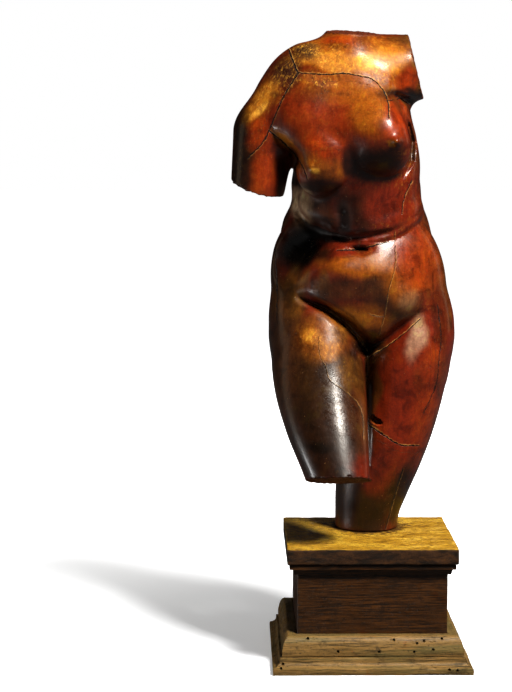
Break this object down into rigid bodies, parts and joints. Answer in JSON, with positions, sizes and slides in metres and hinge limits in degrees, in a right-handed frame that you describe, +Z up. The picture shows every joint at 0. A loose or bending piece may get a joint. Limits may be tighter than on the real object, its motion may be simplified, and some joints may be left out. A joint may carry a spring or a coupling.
{
  "type": "venus statue",
  "caption": "Carved wooden female torso in the antique manner, broken off at neck, arms and thigh, standing on a square moulded plinth.",
  "frame": {"origin": "centre of the plinth's underside, on the surface it stands on", "axes": "+Z up, -Y towards the viewer of the picture (the front of the figure), +X to the viewer's right"},
  "size_m": [0.2166, 0.1847, 0.5759],
  "materials": {
    "torso_wood": "carved wood, dark amber to mahogany, thick glossy lacquer with drying cracks and worn golden patches",
    "plinth_wood": "dark reddish brown wood with a level grain, waxed, the top of the cap rough and ochre",
    "base_wood": "tan to olive brown waxed wood with small wormholes"
  },
  "bodies": {
    "root": {"venus_torso": "torso_wood", "plinth_cap": "plinth_wood", "plinth_die": "plinth_wood", "cap_moulding_front": "plinth_wood", "cap_moulding_right": "plinth_wood", "cap_moulding_back": "plinth_wood", "cap_moulding_left": "plinth_wood", "base_moulding_upper_front": "base_wood", "base_moulding_upper_right": "base_wood", "base_moulding_upper_back": "base_wood", "base_moulding_upper_left": "base_wood", "base_moulding_lower_front": "base_wood", "base_moulding_lower_right": "base_wood", "base_moulding_lower_back": "base_wood", "base_moulding_lower_left": "base_wood"}
  },
  "joints": []
}
